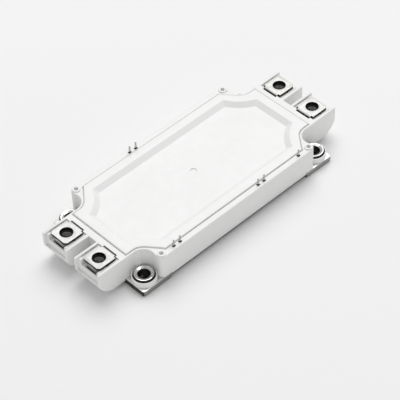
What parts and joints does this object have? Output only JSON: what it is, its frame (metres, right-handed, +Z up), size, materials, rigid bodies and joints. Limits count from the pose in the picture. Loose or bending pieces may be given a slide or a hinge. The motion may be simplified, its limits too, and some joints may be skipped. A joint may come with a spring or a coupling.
{
  "type": "igbt module",
  "caption": "Flat half-bridge power semiconductor module: moulded frame with recessed lid on a metal base plate, screw terminals at both short ends, signal pins along the long edges.",
  "frame": {"origin": "centre of the base plate's underside", "axes": "+X along the module towards the two supply terminals, +Y across it towards the row of two pins, +Z up out of the lid"},
  "size_m": [0.152, 0.0622, 0.0205],
  "materials": {
    "plate_metal": "nickel-plated copper, fine even grain",
    "frame_plastic": "white glass-filled moulding, satin",
    "lid_plastic": "white moulding, fine satin",
    "sealant": "cured silicone bead",
    "terminal_metal": "nickel-plated copper strip",
    "pin_metal": "tin-plated brass",
    "nut_steel": "zinc-plated steel",
    "bush_metal": "plated brass",
    "solder": "dull solder",
    "copper": "bare copper",
    "ceramic": "unglazed alumina",
    "silicon": "metallised silicon",
    "bond_wire": "drawn aluminium wire",
    "sensor": "dark chip component",
    "gel": "clear soft silicone gel"
  },
  "bodies": {
    "root": {"base_plate": "plate_metal", "base_seal": "sealant", "chip_wires_1": "bond_wire", "chip_wires_2": "bond_wire", "chip_wires_3": "bond_wire", "diode_high_1": "silicon", "diode_high_2": "silicon", "diode_high_3": "silicon", "diode_low_1": "silicon", "diode_low_2": "silicon", "diode_low_3": "silicon", "housing_frame": "frame_plastic", "lid": "lid_plastic", "link_wires_1": "bond_wire", "link_wires_2": "bond_wire", "mount_bush_1": "bush_metal", "mount_bush_2": "bush_metal", "mount_bush_3": "bush_metal", "mount_bush_4": "bush_metal", "pin_collector_sense": "pin_metal", "pin_high_emitter": "pin_metal", "pin_high_gate": "pin_metal", "pin_low_emitter": "pin_metal", "pin_low_gate": "pin_metal", "pin_thermistor_a": "pin_metal", "pin_thermistor_b": "pin_metal", "pin_wires": "bond_wire", "potting_gel": "gel", "substrate_back_copper_1": "copper", "substrate_back_copper_2": "copper", "substrate_back_copper_3": "copper", "substrate_ceramic_1": "ceramic", "substrate_ceramic_2": "ceramic", "substrate_ceramic_3": "ceramic", "substrate_conductors_1": "copper", "substrate_conductors_2": "copper", "substrate_conductors_3": "copper", "substrate_solder_1": "solder", "substrate_solder_2": "solder", "substrate_solder_3": "solder", "terminal_ac_far": "terminal_metal", "terminal_ac_near": "terminal_metal", "terminal_dc_minus": "terminal_metal", "terminal_dc_plus": "terminal_metal", "terminal_nuts": "nut_steel", "terminal_wires": "bond_wire", "thermistor": "sensor", "transistor_high_1": "silicon", "transistor_high_2": "silicon", "transistor_high_3": "silicon", "transistor_low_1": "silicon", "transistor_low_2": "silicon", "transistor_low_3": "silicon"}
  },
  "joints": []
}
